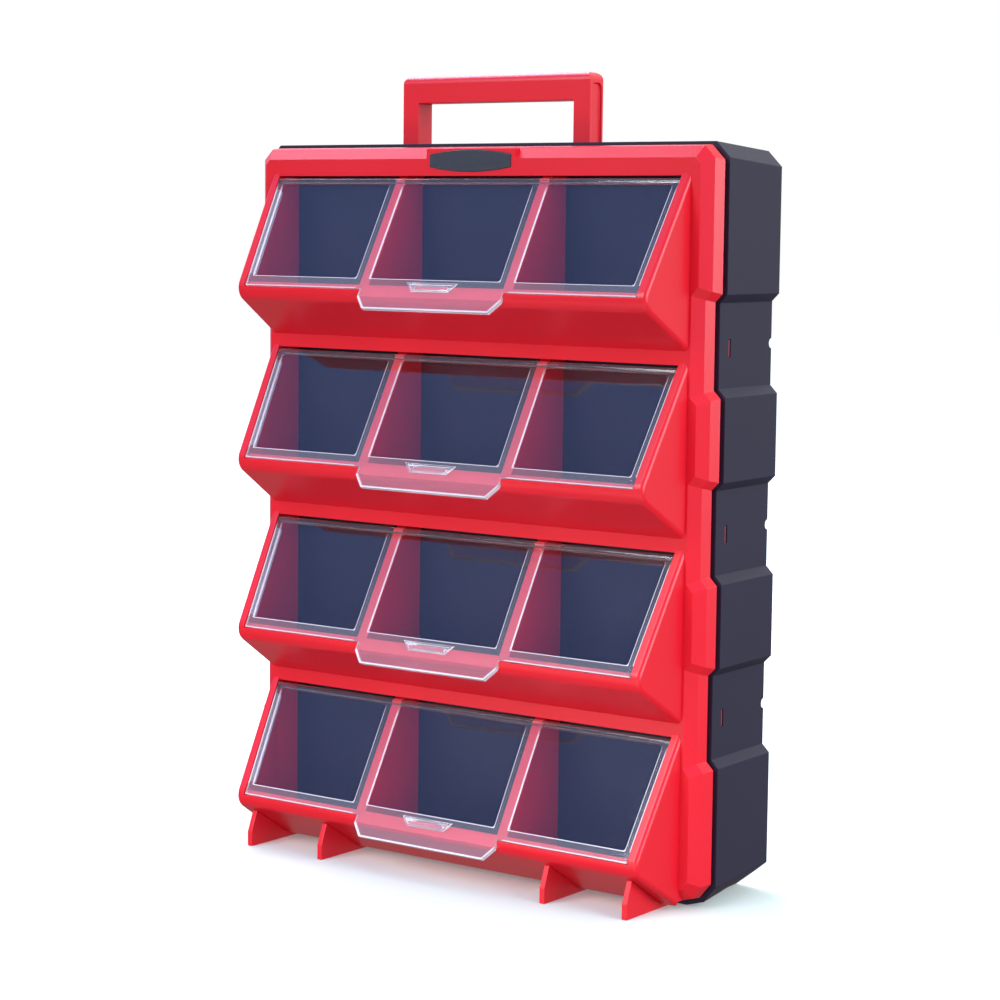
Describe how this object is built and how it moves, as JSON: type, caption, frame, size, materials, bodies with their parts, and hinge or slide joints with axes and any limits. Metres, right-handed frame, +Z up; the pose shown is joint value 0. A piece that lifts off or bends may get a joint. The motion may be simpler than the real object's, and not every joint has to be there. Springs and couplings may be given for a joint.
{
  "type": "small parts organizer box",
  "caption": "Upright parts organizer: rows of slanted bins with clear hinged lids on a red front, grey rear case, fin feet and a sliding carry handle.",
  "frame": {"origin": "centre of the rear case's flat base", "axes": "+Z up along the case's height, +Y to the back of the case, +X to the right seen from the front"},
  "size_m": [0.298, 0.1049, 0.4198],
  "materials": {
    "red_plastic": "satin moulded",
    "grey_plastic": "fine moulded texture",
    "dark_plastic": "smooth moulded",
    "clear_plastic": "polished clear",
    "badge_plastic": "polished"
  },
  "bodies": {
    "case": {"rear_case": "grey_plastic", "bin_back_wall": "dark_plastic", "front_panel": "red_plastic", "badge_plate": "badge_plastic", "bin_row_1": "red_plastic", "bin_row_2": "red_plastic", "bin_row_3": "red_plastic", "bin_row_4": "red_plastic", "divider_1_left": "red_plastic", "divider_1_right": "red_plastic", "divider_2_left": "red_plastic", "divider_2_right": "red_plastic", "divider_3_left": "red_plastic", "divider_3_right": "red_plastic", "divider_4_left": "red_plastic", "divider_4_right": "red_plastic", "foot_outer_left": "red_plastic", "foot_inner_left": "red_plastic", "foot_inner_right": "red_plastic", "foot_outer_right": "red_plastic"},
    "handle": {"carry_handle": "red_plastic"},
    "lid_1": {"lid_1": "clear_plastic"},
    "lid_2": {"lid_2": "clear_plastic"},
    "lid_3": {"lid_3": "clear_plastic"},
    "lid_4": {"lid_4": "clear_plastic"}
  },
  "joints": [
    {"name": "handle_slide", "type": "slide", "parent": "case", "child": "handle", "axis": [0, 0, 1], "range_m": [-0.0211, 0]},
    {"name": "lid_1_hinge", "type": "hinge", "parent": "case", "child": "lid_1", "pos_m": [0, -0.03939, 0.36375], "axis": [-1, 0, 0], "range_deg": [0, 110]},
    {"name": "lid_2_hinge", "type": "hinge", "parent": "case", "child": "lid_2", "pos_m": [0, -0.03939, 0.27085], "axis": [-1, 0, 0], "range_deg": [0, 90]},
    {"name": "lid_3_hinge", "type": "hinge", "parent": "case", "child": "lid_3", "pos_m": [0, -0.03939, 0.17795], "axis": [-1, 0, 0], "range_deg": [0, 90]},
    {"name": "lid_4_hinge", "type": "hinge", "parent": "case", "child": "lid_4", "pos_m": [0, -0.03939, 0.08505], "axis": [-1, 0, 0], "range_deg": [0, 90]}
  ]
}
